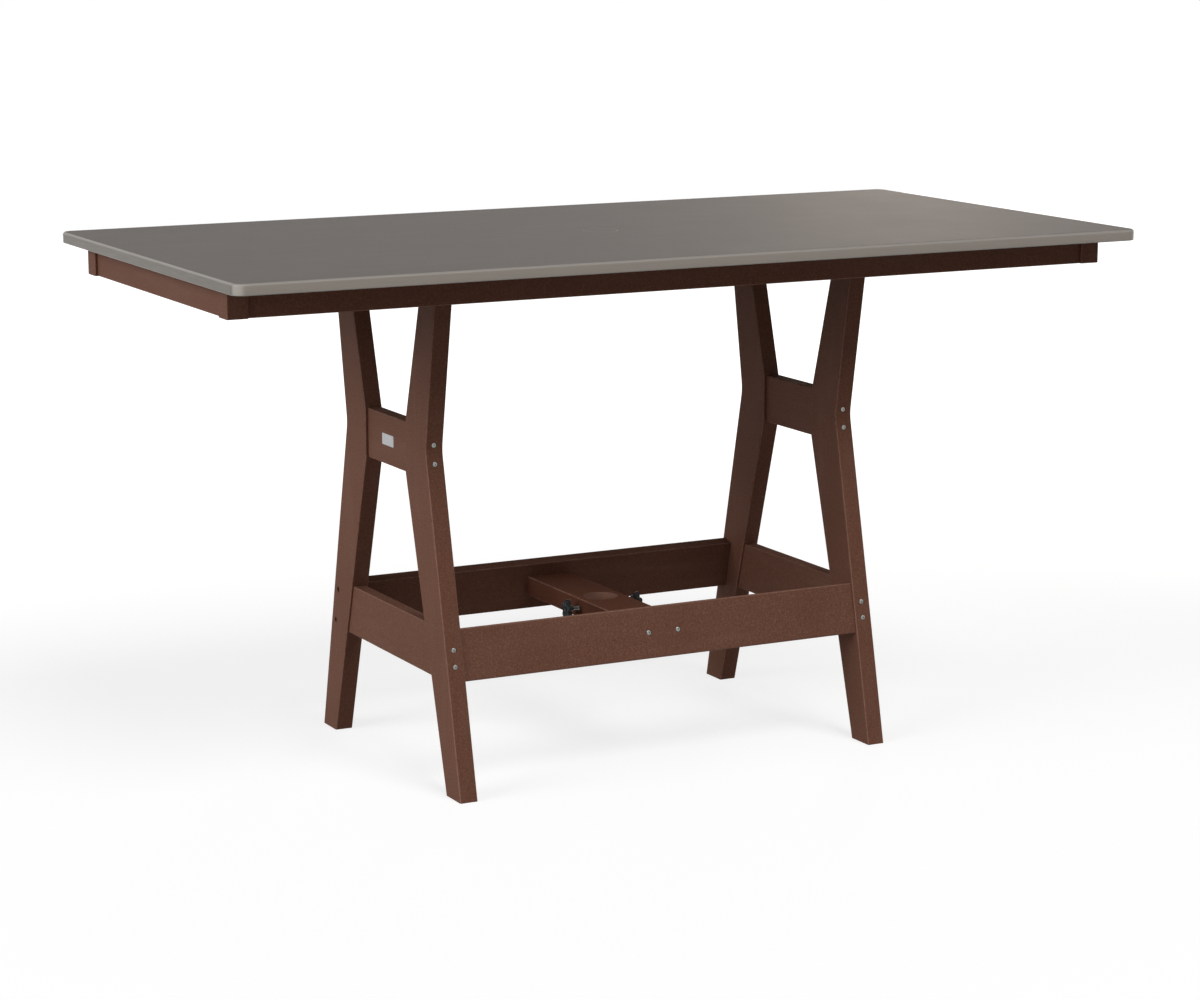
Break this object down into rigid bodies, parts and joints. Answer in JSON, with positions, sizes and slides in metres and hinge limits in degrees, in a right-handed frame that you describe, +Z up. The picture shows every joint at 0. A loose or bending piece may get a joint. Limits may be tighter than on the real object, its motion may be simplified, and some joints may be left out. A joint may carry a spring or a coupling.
{
  "type": "garden table",
  "caption": "Rectangular bar-height garden table with a sheet top on an apron frame, bent-leg ends, sloping stretchers and a board that clamps an umbrella pole.",
  "frame": {"origin": "on the floor, under the middle of the top", "axes": "+X along the table, +Y across it towards the back, +Z up"},
  "size_m": [1.829, 0.914, 0.984],
  "materials": {
    "top_sheet": "fine matte grain, taupe grey",
    "base_board": "fine mottled brown board",
    "knob": "moulded black",
    "steel": "stainless",
    "insert": "turned",
    "plate": "satin, bare"
  },
  "bodies": {
    "table": {"apron_dowels": "steel", "back_apron": "base_board", "back_left_corner_post": "base_board", "back_left_leg": "base_board", "back_right_corner_post": "base_board", "back_right_leg": "base_board", "back_stretcher": "base_board", "back_stretcher_screws": "steel", "bare_plate": "plate", "bracket_screws": "steel", "end_stretcher_screws": "steel", "front_apron": "base_board", "front_left_corner_post": "base_board", "front_left_leg": "base_board", "front_right_corner_post": "base_board", "front_right_leg": "base_board", "front_stretcher": "base_board", "front_stretcher_dowels": "steel", "knee_screws": "steel", "left_cross_rail": "base_board", "left_end_apron": "base_board", "left_end_stretcher": "base_board", "left_knee_brace": "base_board", "left_thread_insert": "insert", "leg_top_screws": "steel", "right_cross_rail": "base_board", "right_end_apron": "base_board", "right_end_stretcher": "base_board", "right_knee_brace": "base_board", "right_thread_insert": "insert", "tabletop": "top_sheet", "top_screws": "steel", "umbrella_bracket": "base_board"},
    "plug": {"hole_plug": "top_sheet"},
    "left_screw": {"left_clamp_stud": "steel"},
    "left_knob": {"left_clamp_knob": "knob"},
    "right_screw": {"right_clamp_stud": "steel"},
    "right_knob": {"right_clamp_knob": "knob"}
  },
  "joints": [
    {"name": "plug_lift", "type": "slide", "parent": "table", "child": "plug", "axis": [0, 0, 1], "range_m": [0, 0.06]},
    {"name": "left_screw_travel", "type": "slide", "parent": "table", "child": "left_screw", "axis": [1, 0, 0], "range_m": [-0.00889, 0.01702]},
    {"name": "left_knob_turn", "type": "hinge", "parent": "left_screw", "child": "left_knob", "pos_m": [-0.071, 0, 0.255], "axis": [1, 0, 0], "range_deg": [-2538, 4842]},
    {"name": "right_screw_travel", "type": "slide", "parent": "table", "child": "right_screw", "axis": [-1, 0, 0], "range_m": [-0.00254, 0.0235]},
    {"name": "right_knob_turn", "type": "hinge", "parent": "right_screw", "child": "right_knob", "pos_m": [0.0775, 0, 0.255], "axis": [-1, 0, 0], "range_deg": [-738, 6678]}
  ],
  "couplings": [
    {"joint": "left_knob_turn", "follows": "left_screw_travel", "rad_per_m": 4947.4},
    {"joint": "right_knob_turn", "follows": "right_screw_travel", "rad_per_m": 4947.4}
  ]
}
